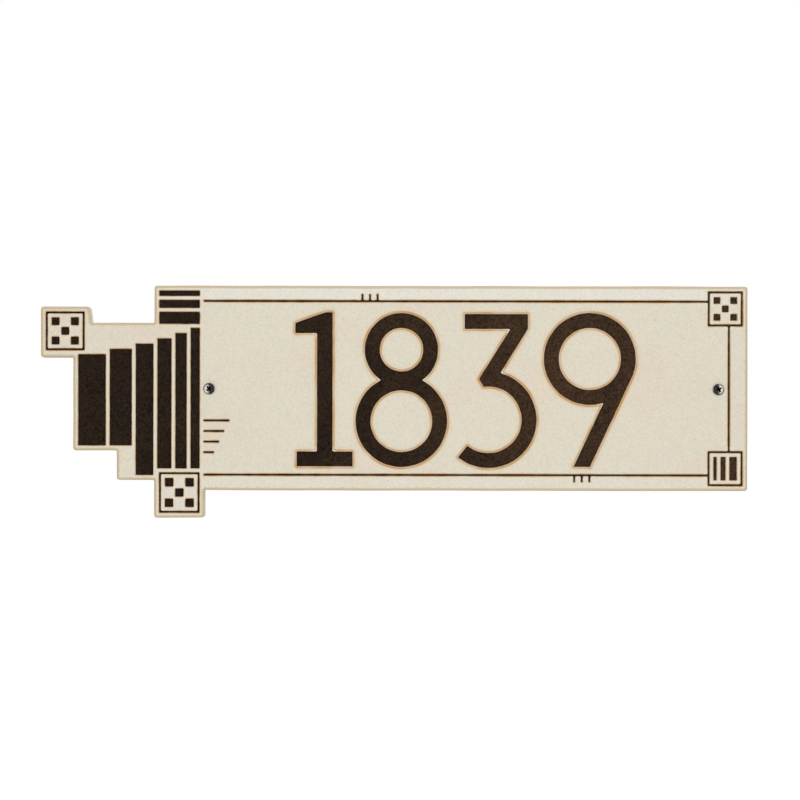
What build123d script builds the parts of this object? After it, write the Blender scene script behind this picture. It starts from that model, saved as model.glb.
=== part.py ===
"""House number plaque: a stepped stoneware slab with recessed numerals, and its two wall screws.

Frame, in millimetres: the back of the slab lies on y = 0 and faces the wall (+Y), the glazed
front faces -Y, +X is to the reader's right and +Z is up.  The origin is on the wall plane,
midway between the two screws.
"""

from math import cos, radians, sin, tan
import os

from build123d import *

# Slab
THICKNESS = 10.0            # front face to wall
CORNER_RADIUS = 1.8         # outer corners of the outline, seen from the front
INNER_CORNER_RADIUS = 0.8   # corners between its steps
FRONT_EDGE_RADIUS = 1.5     # rolled front edge

# Stepped left-hand end
BLOCK_WIDTH = 53.5          # large block, out from the number panel
BLOCK_HEIGHT = 84.3
BLOCK_DROP = 24.6           # from the top of the panel to the top of the block
EAR_SIZE = 33.6             # square ear at the upper corner of the block
EAR_OVERHANG = 21.4         # ear past the left side of the block
EAR_RISE = 10.6             # ear above the top of the block
EAR_SLANT = 1.5             # how far its free right side leans in at the top
STEP_WIDTH = 24.7           # step under the block
STEP_DROP = 19.5
FOOT_WIDTH = 33.3           # foot under the panel
FOOT_DROP = 18.2

# Screws, No. 8 pan head with a cross recess and a rolled thread, thicker than its smooth shank
SCREW_SPACING = 336.0
LEFT_MARGIN = 36.4          # left screw to the left side of the panel
SMOOTH_DIAMETER = 3.4
SMOOTH_LENGTH = 10.0        # under the head, before the thread starts
THREAD_DIAMETER = 4.2       # over the crests, made as a plain cylinder
SCREW_LENGTH = 32.0         # under the head
POINT_LENGTH = 6.0
POINT_DIAMETER = 0.6
HEAD_DIAMETER = 7.6
HEAD_HEIGHT = 2.6
HEAD_RIM_HEIGHT = 1.0       # straight side of the head, under its dome
CROSS_SPAN = 4.4            # cross recess, tip to tip
CROSS_SLOT = 1.1
CROSS_DEPTH = 1.7
CROSS_POINT = 1.4           # width of the cross at its bottom
CROSS_TURNS = (42.0, 30.0)  # how far each screw stopped turning, in degrees
HOLE_CLEARANCE = 0.4        # all round the thread

# Recesses and the dark glaze that lies in them
RECESS_DEPTH = 1.6
GLAZE_THICKNESS = 0.5
LIP = 0.4                   # softened edge round each recess
LINE_WIDTH = 1.2            # ruled lines
RIM = 3.3                   # cream rim between the outline and the ornament
REED = 2.6                  # cream ridges between dark fields
HEAD_MARGIN = 2.6           # screw head to the ornament or line beside it

# Numerals
NUMERAL_HEIGHT = 101.6
STROKE = 9.8
NUMERAL_GAPS = (2.0, 7.3, 4.9)
NUMERAL_DROPS = (0.4, 0.7, 1.3, 0.5)  # how far each was set below the row by hand
NUMERAL_SHIFT = 1.1         # row of numerals right of the middle between the screws
TOP_MARGIN = 7.1            # row to the middle of the line above
BOTTOM_MARGIN = 6.0         # row to the middle of the line below
ONE_BASE_WIDTH = 36.9
ONE_STEM_INSET = 13.4
ONE_STEM_WIDTH = 10.2       # cut a little wider than the other strokes
ONE_FLAG_REACH = 14.4
ONE_FLAG_TIP = 6.6
ONE_FLAG_DROP = 13.6
ONE_TOP_WIDTH = 4.8
EIGHT_UPPER_RADIUS = 24.2
EIGHT_LAP = 7.2             # how far the two rings of the 8 run into each other
THREE_BOWL_RADIUS = 31.8
THREE_BAR_LEFT = 15.6       # from the middle of the bowl
THREE_BAR_RIGHT = 26.1
THREE_LEAN = 32.0           # slope of the diagonal, from upright
THREE_HEEL_ANGLE = 98.0     # where the heel of the diagonal meets the inside of the bowl
THREE_HEEL_LEAN = 30.7      # slope of the heel, from upright
THREE_TERMINAL_ANGLE = -128.7
NINE_RADIUS = 30.3
NINE_LEAN = 25.0

# Ruled border
BORDER_TOP_INSET = 10.1     # middle of each line to the edge of the panel
BORDER_BOTTOM_INSET = 10.3
BORDER_RIGHT_INSET = 12.4
CORNER_SIZE = 23.0
TICK_LENGTH = 4.6
TICK_PITCH = 5.0
TICK_COUNT = 3
TOP_TICKS_AT = -62.0
BOTTOM_TICKS_AT = 78.0

# Striped and chequered ornament
STRIPE_COUNT = 6            # upright stripes of the end panel
STRIPE_RATIO = 1.25         # each stripe to the one on its right
BAND_COUNT = 3              # level stripes above them
BAND_RATIO = 1.5
CORNER_BAND_COUNT = 3
CHEQUER_GAP = 1.2
RULE_COUNT = 4              # level rules beside the left screw
RULE_PITCH = 7.0
RULE_DROP = 21.0            # first rule under the screw
RULE_LENGTH = 17.0
RULE_SHORTENING = 3.4

# Places of the blocks, from the sizes above
PANEL_TOP = NUMERAL_HEIGHT / 2 + TOP_MARGIN + BORDER_TOP_INSET
PANEL_BOTTOM = -NUMERAL_HEIGHT / 2 - BOTTOM_MARGIN - BORDER_BOTTOM_INSET
PANEL_LEFT = -SCREW_SPACING / 2 - LEFT_MARGIN
PANEL_RIGHT = SCREW_SPACING / 2 + HEAD_DIAMETER / 2 + HEAD_MARGIN + LINE_WIDTH / 2 + BORDER_RIGHT_INSET
BLOCK_LEFT = PANEL_LEFT - BLOCK_WIDTH
BLOCK_TOP = PANEL_TOP - BLOCK_DROP
BLOCK_BOTTOM = BLOCK_TOP - BLOCK_HEIGHT
EAR_LEFT = BLOCK_LEFT - EAR_OVERHANG
EAR_RIGHT = EAR_LEFT + EAR_SIZE
EAR_TOP = BLOCK_TOP + EAR_RISE
EAR_BOTTOM = EAR_TOP - EAR_SIZE
EAR_SQUARE = EAR_SIZE - 2 * RIM - EAR_SLANT
STEP_LEFT = PANEL_LEFT - STEP_WIDTH
STEP_BOTTOM = BLOCK_BOTTOM - STEP_DROP
FOOT_RIGHT = PANEL_LEFT + FOOT_WIDTH
FOOT_BOTTOM = PANEL_BOTTOM - FOOT_DROP
END_RIGHT = -SCREW_SPACING / 2 - HEAD_DIAMETER / 2 - HEAD_MARGIN
SCREW_PLACES = (-SCREW_SPACING / 2, SCREW_SPACING / 2)


def rect(left, right, bottom, top):
    """Rectangle between four sides."""
    middle = Pos((left + right) / 2, (bottom + top) / 2)
    return middle * Rectangle(right - left, top - bottom)


def square(left, bottom, size):
    """Square from its lower left corner."""
    return rect(left, left + size, bottom, bottom + size)


def polygon(*points):
    """Closed outline through points, filled."""
    return make_face(Polyline(*points, close=True))


def is_at(corner, places):
    """Whether a corner of an outline lies at one of some places."""
    return any((corner.X - x) ** 2 + (corner.Y - z) ** 2 < 1e-6 for x, z in places)


def ring(radius):
    """Ring of one stroke, by its outer radius."""
    return Circle(radius) - Circle(radius - STROKE)


def outline():
    """Front outline of the slab: the number panel and the stepped end, corners rounded."""
    between_steps = (
        (EAR_RIGHT, BLOCK_TOP),
        (PANEL_LEFT, BLOCK_TOP),
        (FOOT_RIGHT, PANEL_BOTTOM),
        (PANEL_LEFT, STEP_BOTTOM),
        (STEP_LEFT, BLOCK_BOTTOM),
        (BLOCK_LEFT, EAR_BOTTOM),
    )
    panel = rect(PANEL_LEFT, PANEL_RIGHT, PANEL_BOTTOM, PANEL_TOP)
    block = rect(BLOCK_LEFT, PANEL_LEFT, BLOCK_BOTTOM, BLOCK_TOP)
    ear = polygon(
        (EAR_LEFT, EAR_BOTTOM),
        (EAR_RIGHT, EAR_BOTTOM),
        (EAR_RIGHT, BLOCK_TOP),
        (EAR_RIGHT - EAR_SLANT, EAR_TOP),
        (EAR_LEFT, EAR_TOP),
    )
    step = rect(STEP_LEFT, PANEL_LEFT, STEP_BOTTOM, BLOCK_BOTTOM)
    foot = rect(PANEL_LEFT, FOOT_RIGHT, FOOT_BOTTOM, PANEL_BOTTOM)
    shape = panel + block + ear + step + foot
    outer = [corner for corner in shape.vertices() if not is_at(corner, between_steps)]
    shape = fillet(outer, CORNER_RADIUS)
    inner = [corner for corner in shape.vertices() if is_at(corner, between_steps)]
    return fillet(inner, INNER_CORNER_RADIUS)


def numeral_one():
    """Slab-footed 1 with a sloping flag; origin at the left of its base."""
    stem_right = ONE_STEM_INSET + ONE_STEM_WIDTH
    tip = ONE_STEM_INSET - ONE_FLAG_REACH
    flag_bottom = NUMERAL_HEIGHT - ONE_FLAG_DROP
    base = rect(0, ONE_BASE_WIDTH, 0, STROKE)
    stem = rect(ONE_STEM_INSET, stem_right, 0, flag_bottom)
    flag = polygon(
        (stem_right, flag_bottom),
        (stem_right, NUMERAL_HEIGHT),
        (stem_right - ONE_TOP_WIDTH, NUMERAL_HEIGHT),
        (tip, flag_bottom + ONE_FLAG_TIP),
        (tip, flag_bottom),
    )
    return base + stem + flag


def numeral_eight():
    """Two stacked rings; origin under their middle."""
    lower_radius = (NUMERAL_HEIGHT + EIGHT_LAP) / 2 - EIGHT_UPPER_RADIUS
    lower_place = Pos(0, lower_radius)
    upper_place = Pos(0, NUMERAL_HEIGHT - EIGHT_UPPER_RADIUS)
    discs = lower_place * Circle(lower_radius) + upper_place * Circle(EIGHT_UPPER_RADIUS)
    counters = [
        lower_place * Circle(lower_radius - STROKE),
        upper_place * Circle(EIGHT_UPPER_RADIUS - STROKE),
    ]
    return discs - counters


def numeral_three():
    """Flat-topped 3: a bar, a diagonal and an open bowl; origin under the middle of the bowl."""
    inner = THREE_BOWL_RADIUS - STROKE
    bar_bottom = NUMERAL_HEIGHT - STROKE
    lean = radians(THREE_LEAN)
    width = STROKE / cos(lean)
    foot = THREE_BAR_RIGHT - (bar_bottom - THREE_BOWL_RADIUS) * tan(lean)
    bar = rect(-THREE_BAR_LEFT, THREE_BAR_RIGHT, bar_bottom, NUMERAL_HEIGHT)
    diagonal = polygon(
        (THREE_BAR_RIGHT, bar_bottom),
        (foot, THREE_BOWL_RADIUS),
        (foot - width, THREE_BOWL_RADIUS),
        (THREE_BAR_RIGHT - width, bar_bottom),
    )
    reach = NUMERAL_HEIGHT
    terminal = radians(THREE_TERMINAL_ANGLE)
    heel = radians(THREE_HEEL_ANGLE)
    heel_x = inner * cos(heel)
    heel_z = inner * sin(heel)
    mouth = polygon(
        (0, 0),
        (reach * cos(terminal), reach * sin(terminal)),
        (-reach, -reach),
        (-reach, reach),
        (heel_x - reach * sin(radians(THREE_HEEL_LEAN)), heel_z + reach * cos(radians(THREE_HEEL_LEAN))),
        (heel_x, heel_z),
    )
    beside_diagonal = rect(-THREE_BOWL_RADIUS, 0, 0, THREE_BOWL_RADIUS)
    bowl = Pos(0, THREE_BOWL_RADIUS)
    strokes = bar + diagonal + bowl * (Circle(THREE_BOWL_RADIUS) - beside_diagonal)
    return strokes - [bowl * Circle(inner), bowl * mouth]


def numeral_nine():
    """Ring with a straight leg that leaves it as a tangent; origin under the ring."""
    centre_z = NUMERAL_HEIGHT - NINE_RADIUS
    across = cos(radians(NINE_LEAN))
    down = sin(radians(NINE_LEAN))
    inner = NINE_RADIUS - STROKE
    leg = polygon(
        (NINE_RADIUS * across, centre_z - NINE_RADIUS * down),
        ((NINE_RADIUS - centre_z * down) / across, 0),
        ((inner - centre_z * down) / across, 0),
        (inner * across, centre_z - inner * down),
    )
    return Pos(0, centre_z) * ring(NINE_RADIUS) + leg


def numerals():
    """The four numerals in reading order, set out from the middle of the row."""
    row = [numeral_one(), numeral_eight(), numeral_three(), numeral_nine()]
    boxes = [numeral.bounding_box() for numeral in row]
    width = sum(box.size.X for box in boxes) + sum(NUMERAL_GAPS)
    left = NUMERAL_SHIFT - width / 2
    placed = []
    for numeral, box, gap, drop in zip(row, boxes, NUMERAL_GAPS + (0,), NUMERAL_DROPS):
        placed.append(Pos(left - box.min.X, -NUMERAL_HEIGHT / 2 - drop) * numeral)
        left += box.size.X + gap
    return placed


def graded(start, length, count, ratio):
    """Spans that fill a length, one reed apart, each wider than the one before by a ratio."""
    total = sum(ratio**index for index in range(count))
    first = (length - (count - 1) * REED) / total
    spans = []
    for index in range(count):
        width = first * ratio**index
        spans.append((start, start + width))
        start += width + REED
    return spans


def square_line(left, bottom, size):
    """Ruled line round a square."""
    inner = square(left + LINE_WIDTH, bottom + LINE_WIDTH, size - 2 * LINE_WIDTH)
    return square(left, bottom, size) - inner


def chequer(left, bottom, size):
    """Five dark squares of a three by three chequer, inside a ruled square."""
    inset = LINE_WIDTH + REED
    cell = (size - 2 * inset - 2 * CHEQUER_GAP) / 3
    pitch = cell + CHEQUER_GAP
    cells = []
    for column in range(3):
        for row in range(3):
            if (column + row) % 2 == 0:
                cells.append(square(left + inset + column * pitch, bottom + inset + row * pitch, cell))
    return cells


def upright_stripes():
    """Stripes of the end panel, widening to the left under a stepped skyline."""
    above_foot = FOOT_BOTTOM + FOOT_WIDTH - RIM + REED
    highest = BLOCK_TOP - RIM
    lowest = EAR_TOP - RIM - EAR_SQUARE - REED
    stripes = []
    spans = graded(0, END_RIGHT - BLOCK_LEFT - RIM, STRIPE_COUNT, STRIPE_RATIO)
    for index, (near, far) in enumerate(spans):
        top = highest + (lowest - highest) * index / (STRIPE_COUNT - 1)
        left = END_RIGHT - far
        right = END_RIGHT - near
        floors = []
        if left < STEP_LEFT + RIM:
            floors.append(BLOCK_BOTTOM + RIM)
        if left < PANEL_LEFT + RIM:
            floors.append(STEP_BOTTOM + RIM)
        if right > PANEL_LEFT + RIM - REED:
            floors.append(above_foot)
        stripes.append(rect(left, right, max(floors), top))
    return stripes


def level_bands():
    """Level stripes above the upright ones, widening downwards."""
    bottom = BLOCK_TOP - RIM + REED
    spans = graded(0, PANEL_TOP - RIM - bottom, BAND_COUNT, BAND_RATIO)
    left = PANEL_LEFT + RIM
    top = PANEL_TOP - RIM
    return [rect(left, END_RIGHT, top - far, top - near) for near, far in spans]


def corner_bands(left, bottom, size):
    """Upright stripes inside a ruled square."""
    inset = LINE_WIDTH + REED
    spans = graded(left + inset, size - 2 * inset, CORNER_BAND_COUNT, BAND_RATIO)
    return [rect(near, far, bottom + inset, bottom + size - inset) for near, far in spans]


def ticks(middle, bottom):
    """Short upright ticks, standing on a height."""
    first = middle - TICK_PITCH * (TICK_COUNT - 1) / 2
    places = [first + index * TICK_PITCH for index in range(TICK_COUNT)]
    return [rect(x - LINE_WIDTH / 2, x + LINE_WIDTH / 2, bottom, bottom + TICK_LENGTH) for x in places]


def border():
    """Ruled lines on three sides of the number field, the two right-hand squares and the ticks."""
    half = LINE_WIDTH / 2
    top = PANEL_TOP - BORDER_TOP_INSET
    bottom = PANEL_BOTTOM + BORDER_BOTTOM_INSET
    right = PANEL_RIGHT - BORDER_RIGHT_INSET
    square_left = PANEL_RIGHT - RIM - CORNER_SIZE
    upper = PANEL_TOP - RIM - CORNER_SIZE
    lower = PANEL_BOTTOM + RIM
    lines = [
        rect(END_RIGHT + REED, square_left + half, top - half, top + half),
        rect(FOOT_RIGHT - RIM + REED, square_left + half, bottom - half, bottom + half),
        rect(right - half, right + half, lower + CORNER_SIZE - half, upper + half),
    ]
    squares = [square_line(square_left, upper, CORNER_SIZE), square_line(square_left, lower, CORNER_SIZE)]
    pattern = chequer(square_left, upper, CORNER_SIZE) + corner_bands(square_left, lower, CORNER_SIZE)
    marks = ticks(TOP_TICKS_AT, top) + ticks(BOTTOM_TICKS_AT, bottom - TICK_LENGTH)
    return lines + squares + marks + pattern


def rules():
    """Level rules beside the left screw, each shorter than the one above."""
    left = END_RIGHT + REED
    made = []
    for index in range(RULE_COUNT):
        middle = -RULE_DROP - index * RULE_PITCH
        right = left + RULE_LENGTH - index * RULE_SHORTENING
        made.append(rect(left, right, middle - LINE_WIDTH / 2, middle + LINE_WIDTH / 2))
    return made


def ornament():
    """All the dark ornament: stripes, chequers, border and rules."""
    ear_square = (EAR_LEFT + RIM, EAR_TOP - RIM - EAR_SQUARE, EAR_SQUARE)
    foot_square = (PANEL_LEFT + RIM, FOOT_BOTTOM + RIM, FOOT_WIDTH - 2 * RIM)
    fields = upright_stripes() + level_bands() + rules() + border()
    for place in (ear_square, foot_square):
        fields += [square_line(*place)] + chequer(*place)
    return Sketch() + fields


def plaque(recesses):
    """The slab, with its rolled front edge, screw holes and recesses."""
    slab = extrude(Plane.XZ * outline(), THICKNESS)
    slab = fillet(slab.faces().sort_by(Axis.Y)[0].edges(), FRONT_EDGE_RADIUS)
    front = Plane.XZ.offset(THICKNESS)
    for recess in recesses:
        slab -= extrude(front * recess, -RECESS_DEPTH)
    *islands, field = slab.faces().group_by(Axis.Y)[0].sort_by(SortBy.AREA)
    lips = [edge for mouth in field.inner_wires() for edge in mouth.edges()]
    lips += [edge for island in islands for edge in island.edges()]
    slab = chamfer(lips, LIP)
    hole = Circle(THREAD_DIAMETER / 2 + HOLE_CLEARANCE)
    for x in SCREW_PLACES:
        slab -= extrude(Plane.XZ * Pos(x, 0) * hole, THICKNESS)
    return slab


def glaze(recess):
    """Dark glaze that covers the floor of a recess from wall to wall."""
    floor = Plane.XZ.offset(THICKNESS - RECESS_DEPTH)
    return extrude(floor * recess, GLAZE_THICKNESS)


def screw(x, turn):
    """Pan head screw, seated on the front face; its cross recess stops at a turn."""
    smooth = SMOOTH_DIAMETER / 2
    thread = THREAD_DIAMETER / 2
    head = HEAD_DIAMETER / 2
    straight = SCREW_LENGTH - POINT_LENGTH
    rise = HEAD_HEIGHT - HEAD_RIM_HEIGHT
    dome_radius = (head**2 + rise**2) / (2 * rise)
    dome = RadiusArc((head, HEAD_RIM_HEIGHT), (0, HEAD_HEIGHT), -dome_radius)
    profile = make_face(
        [
            dome,
            Polyline(
                (0, HEAD_HEIGHT),
                (0, -SCREW_LENGTH),
                (POINT_DIAMETER / 2, -SCREW_LENGTH),
                (thread, -straight),
                (thread, -SMOOTH_LENGTH),
                (smooth, -SMOOTH_LENGTH),
                (smooth, 0),
                (head, 0),
                (head, HEAD_RIM_HEIGHT),
            ),
        ]
    )
    solid = revolve(Plane.XZ * profile, Axis.Z)
    solid -= Pos(0, 0, HEAD_HEIGHT) * Rot(0, 0, turn) * cross_recess()
    seat = Plane((x, -THICKNESS, 0), x_dir=(1, 0, 0), z_dir=(0, -1, 0))
    return seat * solid


def cross_recess():
    """Cross recess of a screw head, narrowing to its point; origin at the top of the head."""
    side = polygon(
        (-CROSS_SPAN / 2, 0),
        (-CROSS_POINT / 2, -CROSS_DEPTH),
        (CROSS_POINT / 2, -CROSS_DEPTH),
        (CROSS_SPAN / 2, 0),
    )
    slot = extrude(Plane.XZ * side, CROSS_SLOT / 2, both=True)
    return slot + Rot(0, 0, 90) * slot


def main():
    figures = numerals()
    pattern = ornament()
    screws = [screw(x, turn) for x, turn in zip(SCREW_PLACES, CROSS_TURNS)]
    nodes = {
        "plaque": plaque(figures + [pattern]),
        "numeral_glaze": Compound(children=[glaze(figure) for figure in figures]),
        "ornament_glaze": glaze(pattern),
        "mounting_screws": Compound(children=screws),
    }
    os.makedirs("parts", exist_ok=True)
    for name, shape in nodes.items():
        export_step(shape, f"parts/{name}.step")


main()
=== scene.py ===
"""Dresses the house number plaque: cream glazed slab, dark iron glaze in its recesses, two wall screws.

Lengths are in millimetres until a mesh is made.  Seen from the front, x runs to the right and z up,
and the front face looks along -y.  A place on the face is a complex number, x + 1j * z.
"""

import math

import bmesh
import bpy
import numpy as np
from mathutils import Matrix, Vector, kdtree, noise
from mathutils.geometry import delaunay_2d_cdt


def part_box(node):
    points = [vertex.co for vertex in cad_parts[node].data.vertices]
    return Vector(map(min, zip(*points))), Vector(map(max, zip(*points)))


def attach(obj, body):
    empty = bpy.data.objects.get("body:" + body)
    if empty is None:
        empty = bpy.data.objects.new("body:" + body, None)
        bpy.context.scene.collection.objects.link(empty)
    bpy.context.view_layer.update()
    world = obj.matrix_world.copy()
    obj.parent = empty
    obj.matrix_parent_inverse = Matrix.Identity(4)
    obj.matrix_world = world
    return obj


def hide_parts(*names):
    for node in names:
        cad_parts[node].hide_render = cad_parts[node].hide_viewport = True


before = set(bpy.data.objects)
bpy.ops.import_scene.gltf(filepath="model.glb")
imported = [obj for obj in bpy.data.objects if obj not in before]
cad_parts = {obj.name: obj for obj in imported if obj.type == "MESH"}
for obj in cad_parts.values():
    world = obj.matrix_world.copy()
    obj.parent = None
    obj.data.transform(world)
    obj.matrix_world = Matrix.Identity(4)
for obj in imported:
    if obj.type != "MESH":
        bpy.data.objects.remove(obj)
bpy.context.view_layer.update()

MM = 0.001

# Levels of the slab, read from the frame
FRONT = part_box("plaque")[0].y / MM
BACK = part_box("plaque")[1].y / MM
THICKNESS = BACK - FRONT
RECESS_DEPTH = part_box("numeral_glaze")[1].y / MM - FRONT
GLAZE_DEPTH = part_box("numeral_glaze")[0].y / MM - FRONT

# How the frame's faces are read
LEVEL_SLACK = 0.01          # how near a level a corner has to lie
SAME_DIGITS = 3             # corners that agree to this many decimals are one

# How finely outlines are drawn
STEP = 0.25                 # even steps along an outline
GENTLE_TURN = 25.0          # degrees; a corner of the frame that turns less is part of a curve
KEPT_TURN = 9.0             # degrees turned before a point is kept
KEPT_GAP = 1.6              # longest gap between kept points
FIELD_GRID = 4.0            # points of the open field, to carry its unevenness
CLOSE_GRID = 1.0            # points beside a numeral or the rim, to carry the glaze's change there
FILL_INSIDE = 1             # triangles only inside the rings
FILL_GAP = 1e-5             # points of a filled face that lie closer become one
MID_ROUND = 0.3             # how far the middle of a quarter round lies from both walls, per radius

# Places in a piece's list of materials
COVERED = 0                 # the slab's glaze, or the one material of another piece
BARE = 1                    # the slab's clay

# Handwork: how corners and lines depart from the ruled ones
SUNK_CORNER = 0.32          # rounding of dark corners
RAISED_CORNER = 0.75        # rounding of cream corners, softened by the glaze
RAISED_BEND = 0.3           # curvature, per mm, at which a cream corner is fully softened
LINE_WOBBLE = 0.13          # how far the recesses' lines wander
LINE_WAVE = 5.0             # and over what length
EDGE_ROUNDING = 0.35
EDGE_WOBBLE = 0.22          # the same for the outer edge
EDGE_WAVE = 38.0
FIELD_WOBBLE = 0.12         # unevenness of the fired face
FIELD_WAVE = 55.0

# Edge of a recess
LIP = 0.6                   # radius of the rounded arris
LIP_STEPS = 4
SHOULDER = 0.6              # flat past the lip that keeps to its outline
NUMERAL_HALO = 4.0          # how far the cream glaze runs thin beside a numeral
ORNAMENT_HALO = 1.4
DRAFT = 0.08                # how far the wall leans in
COVE = 0.4                  # rounding at the floor

# Dark glaze in a recess
MENISCUS = 0.6              # width over which it climbs the wall
MENISCUS_RISE = 0.22
MENISCUS_STEPS = 3
BITE = 0.06                 # how far it keys into the wall
BED = 0.02                  # and into the floor

# Outer edge and screw holes
ROLL = 1.5                  # rolled front edge
ROLL_STEPS = 6
ROLL_GUARD = 0.1            # flat just inside the roll
GUARD_TAN = 0.8             # how far the rim's tan shows there
WALL_TAN = 0.42             # and how far on the side wall, where the glaze lies thicker again
RIM_BAND = 3.2              # strip along the outline that has close points
GLAZE_LINE = 1.2            # bare strip along the back edge
BACK_ROUND = 0.4
HOLE_ROUND = 0.4

# Room that a section needs beside its outline
ROOM_STEP = 0.1
ROOM_LEAST = 0.08           # reach that is left in the tightest corner
ROOM_SLACK = 0.01
ROOM_SPARE = 1.35
ROOM_BLEND = 2              # steps over which it is evened out along the outline
EDGE_CLEARANCE = 0.12

# Screws
SCREW_SEGMENTS = 48
HEAD_RADIUS = (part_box("mounting_screws")[1].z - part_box("mounting_screws")[0].z) / 2 / MM
SCREW_SPACING = (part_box("mounting_screws")[1].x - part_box("mounting_screws")[0].x) / MM - 2 * HEAD_RADIUS
SCREW_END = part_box("mounting_screws")[1].y / MM
HEAD_HEIGHT = 2.6
HEAD_RIM = 1.0
HEAD_EDGE = 0.18            # softened corners of the head's rim
HEAD_BULGE = 0.2            # share of it by which the upper corner's middle stands over the rim
DOME_STEPS = 10
SMOOTH_RADIUS = 1.7
SMOOTH_LENGTH = 10.0
ROOT_RADIUS = 1.45
PLUG_RADIUS = 0.7 * ROOT_RADIUS
PLUG_LENGTH = 0.3           # end of the shank, hidden in the thread's core
CREST_RADIUS = 2.1
CREST_HOLD = 1.6            # the crest stays full until the taper falls to 1 over this
POINT_LENGTH = 6.0
POINT_RADIUS = 0.12
THREAD_PITCH = 1.7
THREAD_SEGMENTS = 32
THREAD_SHAPE = (0.0, 0.0, 0.15, 1.0, 1.0, 0.15)
THREAD_GAP = 0.002          # points of the thread that lie closer become one
CROSS_SPAN = 5.0            # at the height of the dome's top, so about 4.2 where it meets the dome
CROSS_SLOT = 1.2
CROSS_DEPTH = 1.7
CROSS_POINT = 1.4
CROSS_EDGE = 0.07           # softening of its edges
CROSS_EDGE_STEPS = 2
CROSS_EDGE_ANGLE = math.radians(40.0)
CUTTER_RISE = 1.0           # how far its cutter stands over the dome
SHARP_ANGLE = math.radians(38.0)
FIRST_TURN = math.radians(42.0)
SECOND_TURN = math.radians(30.0)

# Patterns of the finishes.  Grain, flecks, grit and wear are finer on the real ones, and are drawn as
# coarse as they need to show
CREAM_CLOUD = 38.0
CREAM_GRAIN = 1.3
CREAM_SPECK = 6.0           # from one speck to the next
CREAM_DRIFT = 16.0          # how the amber and the tan come and go
CREAM_PEEL = 1.8
IRON_CLOUD = 40.0
IRON_FLECK = 0.95
CLAY_CLOUD = 25.0
CLAY_GRIT = 0.9
CLAY_SPECK = 4.0
STEEL_WEAR = 1.5
NOISE_LOW = 0.3             # nearly all of a noise's values lie between these
NOISE_HIGH = 0.7

# How dark and how light their grain is, and how strongly specks show
GRAIN_TONES = (0.93, 1.06)
FLECK_TONES = (0.2, 1.85)
GRIT_TONES = (0.86, 1.1)
CREAM_SPECK_SHOW = 0.4
CLAY_SPECK_SHOW = 0.7

# Depths of their relief
CREAM_RELIEF = 0.05
IRON_RELIEF = 0.06
CLAY_RELIEF = 0.15

# Their roughness, as a range or a value
CREAM_ROUGHNESS = (0.38, 0.5)
RIM_ROUGHNESS = 0.75
IRON_ROUGHNESS = (0.34, 0.44)
CLAY_ROUGHNESS = 0.9
STEEL_ROUGHNESS = (0.22, 0.32)
IRON_SPECULAR = 0.3         # dry, so it mirrors less than a glass

# Where the glazes change
MARGIN_START = 56.5         # above and below the middle, where the cream lies thicker and whiter
MARGIN_END = 58.5
UPPER_WHITE = 0.75          # how much whiter it gets above, the more as painted light from above
LOWER_WHITE = 0.25          # and below
AMBER_START = 0.05          # shares of a halo: the amber deepens from here
AMBER_DEEP = 0.24           # to here
AMBER_END = 0.48            # and is over here
ARRIS_AMBER = 0.45          # how much amber is left on the arris itself: a painted highlight
NARROW_AMBER = 0.3          # and where the cream between two recesses is narrow
PEACH_SHOW = 0.4            # how strongly the halo shows
TAN_SHOW = 0.85             # and the tan
SHEEN_START = -120.0        # across the plaque, where a painted sheen starts to lighten the dark glaze
SHEEN_END = 60.0
SHEEN_SHARES = (-0.05, 0.69)
BROWN_CLOUD = 0.22          # how far its clouds shift that

# Camera: 1.4 m from the front face, so that a pixel is 0.66 mm there
CAMERA_PLACE = (-42.1, -1410.0, -7.3)
CAMERA_SENSOR = 36.0
CAMERA_LENS = 95.45
CAMERA_ROLL = math.radians(-0.1)

# Light
LAMP_PLACES = ((-380.0, -1250.0, 260.0), (380.0, -1250.0, 260.0))
LAMP_SIZE = (700.0, 900.0)
LAMP_WATTS = 4.68           # each of the two soft boxes, beside the camera and over it
BACK_LAMP_PLACE = (150.0, 1300.0, 500.0)
BACK_LAMP_WATTS = 9.0
AIM = (-45.0, -5.0, 0.0)
GLEAM_OFFSETS = ((-160.0, -75.0, -30.0), (160.0, -75.0, 25.0))
GLEAM_SIZE = (260.0, 380.0)
GLEAM_WATTS = 0.72          # lamps that only the screws see, flat to the wall beside each screw
FILL = 0.6                  # light from all round, on matt surfaces
FRONT_GLEAM = 0.08          # what the camera's side of the room shows in a gloss
BACK_GLEAM = 1.0            # and the white backdrop
BACK_TURN = 0.6             # how far to the back a gloss has to look to see all of it
FLOOR_LEVEL = -300.0
FLOOR_RADIUS = 1300.0
FLOOR_SEGMENTS = 64
FLOOR_FADE = (450.0, 1100.0)
FLOOR_GLOW = 0.45


# Outlines

def flat_outlines(name, level):
    """Closed outlines of a CAD node's flat faces at one level y."""
    places = []
    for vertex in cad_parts[name].data.vertices:
        place = vertex.co / MM
        corner = complex(round(place.x, SAME_DIGITS), round(place.z, SAME_DIGITS))
        places.append(corner if abs(place.y - level) < LEVEL_SLACK else None)
    sides = set()
    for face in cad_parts[name].data.polygons:
        corners = [places[index] for index in face.vertices]
        if None not in corners:
            sides.update(zip(corners, corners[1:] + corners[:1]))
    following = {start: end for start, end in sides if (end, start) not in sides}
    loops = []
    while following:
        start = min(following, key=lambda place: (place.real, place.imag))
        loop = [start]
        here = following.pop(start)
        while here != start:
            loop.append(here)
            here = following.pop(here)
        loops.append(np.array(loop))
    return loops


def turns(points):
    """Angle turned at each point of a closed run, positive to the left."""
    ahead = np.roll(points, -1) - points
    return np.angle(ahead / np.roll(ahead, 1))


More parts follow.
